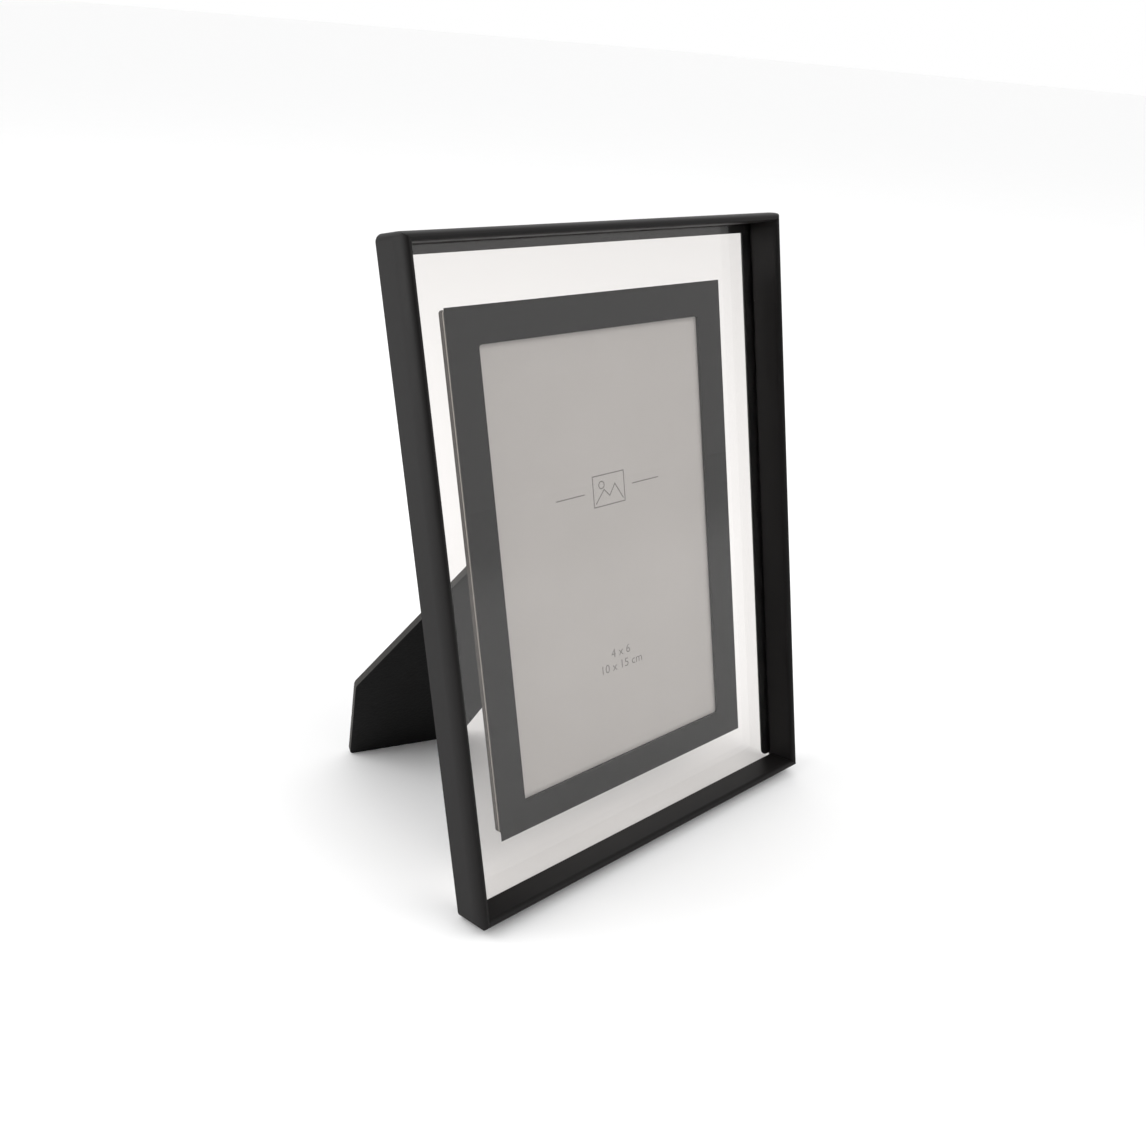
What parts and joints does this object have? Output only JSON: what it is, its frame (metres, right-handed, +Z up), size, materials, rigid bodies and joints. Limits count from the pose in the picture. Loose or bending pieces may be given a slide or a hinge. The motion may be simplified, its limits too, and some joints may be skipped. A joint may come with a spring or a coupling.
{
  "type": "photo frame",
  "caption": "Upright tabletop picture frame: slim mitred moulding, one large pane, small print pack floating behind a dark border, and a hinged easel leg.",
  "frame": {"origin": "middle of the standing object's footprint, on the table", "axes": "+Z up from the table, +Y from the viewer's side to the leg's side, +X to the viewer's right"},
  "size_m": [0.155, 0.1121, 0.2062],
  "materials": {
    "moulding": "satin black moulding",
    "nail_steel": "bare bent steel strip",
    "glass": "clear float glass",
    "strip_black": "black flat strip",
    "border_ink": "black print on the pane's back",
    "board_dark": "black paper faced fibreboard",
    "insert_paper": "plain coated paper",
    "board_brown": "raw edged fibreboard",
    "hinge_steel": "zinc plated sheet",
    "button_steel": "zinc plated sheet"
  },
  "bodies": {
    "frame": {"top_rail": "moulding", "bottom_rail": "moulding", "left_rail": "moulding", "right_rail": "moulding", "corner_v_nails": "nail_steel", "glass_pane": "glass", "glazing_strip_top": "strip_black", "glazing_strip_left": "strip_black", "glazing_strip_right": "strip_black", "printed_border": "border_ink", "aperture_board": "board_dark", "photo_insert": "insert_paper", "backing_rim": "board_brown", "back_board": "board_dark", "turn_button_rivets": "hinge_steel", "hinge_plate": "hinge_steel", "hinge_pin": "hinge_steel", "plate_rivets": "hinge_steel"},
    "leg": {"easel_leg": "board_dark", "hinge_leaf": "hinge_steel", "leaf_rivets": "hinge_steel"},
    "button_top": {"turn_button_top": "button_steel"},
    "button_bottom": {"turn_button_bottom": "button_steel"},
    "button_left": {"turn_button_left": "button_steel"},
    "button_right": {"turn_button_right": "button_steel"}
  },
  "joints": [
    {"name": "leg_hinge", "type": "hinge", "parent": "frame", "child": "leg", "pos_m": [0.009, -0.00687, 0.12296], "axis": [-0.8572, 0.1246, 0.4997], "range_deg": [0, 36]},
    {"name": "turn_top", "type": "hinge", "parent": "frame", "child": "button_top", "pos_m": [0.02, 0.00493, 0.17794], "axis": [0, 0.9703, -0.2419], "continuous": true},
    {"name": "turn_bottom", "type": "hinge", "parent": "frame", "child": "button_bottom", "pos_m": [0.02, -0.03375, 0.02279], "axis": [0, 0.9703, -0.2419], "continuous": true},
    {"name": "turn_left", "type": "hinge", "parent": "frame", "child": "button_left", "pos_m": [-0.05465, -0.00939, 0.1205], "axis": [0, 0.9703, -0.2419], "continuous": true},
    {"name": "turn_right", "type": "hinge", "parent": "frame", "child": "button_right", "pos_m": [0.05465, -0.00939, 0.1205], "axis": [0, 0.9703, -0.2419], "continuous": true}
  ]
}
